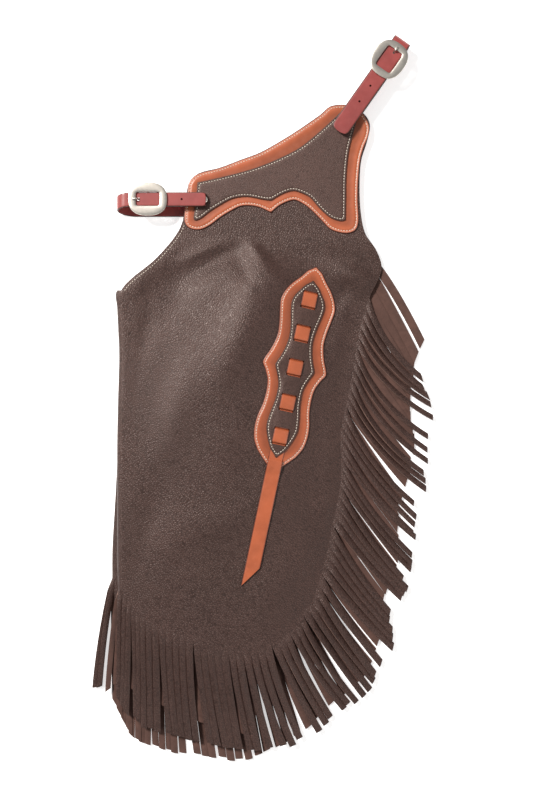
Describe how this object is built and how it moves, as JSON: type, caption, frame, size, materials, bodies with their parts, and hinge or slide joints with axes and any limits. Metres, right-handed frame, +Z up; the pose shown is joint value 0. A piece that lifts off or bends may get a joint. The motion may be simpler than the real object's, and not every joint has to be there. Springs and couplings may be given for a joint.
{
  "type": "western chaps",
  "caption": "Short fringed leather riding chaps with a tan-trimmed yoke, woven thigh ornament and buckled straps, folded in half and lying flat.",
  "frame": {"origin": "middle of the footprint, on the surface that the folded pair lies on", "axes": "+Y from the hem's fringe to the yoke, +X from the soft fold to the fringed side, +Z up from the surface to the near leg"},
  "size_m": [0.465, 1.0152, 0.0323],
  "materials": {
    "dark_leather": "pebbled, semi-gloss",
    "suede": "napped flesh side",
    "tan_leather": "smooth, burnished edges",
    "latigo": "smooth, waxed",
    "nickel": "satin nickel plate"
  },
  "bodies": {
    "root": {"near_leg": "dark_leather", "far_leg": "dark_leather", "near_fringe": "dark_leather", "far_fringe": "suede", "near_flap_fringe": "suede", "far_flap_fringe": "dark_leather", "near_yoke_border": "tan_leather", "near_yoke_overlay": "dark_leather", "far_yoke_border": "tan_leather", "far_yoke_overlay": "dark_leather", "patch_border": "tan_leather", "patch_overlay": "dark_leather", "patch_strap": "tan_leather", "front_billet": "latigo", "front_chape": "latigo", "front_buckle": "nickel", "front_tongue": "nickel", "front_rivet": "nickel", "back_billet": "latigo", "back_chape": "latigo", "back_buckle": "nickel", "back_tongue": "nickel"}
  },
  "joints": []
}
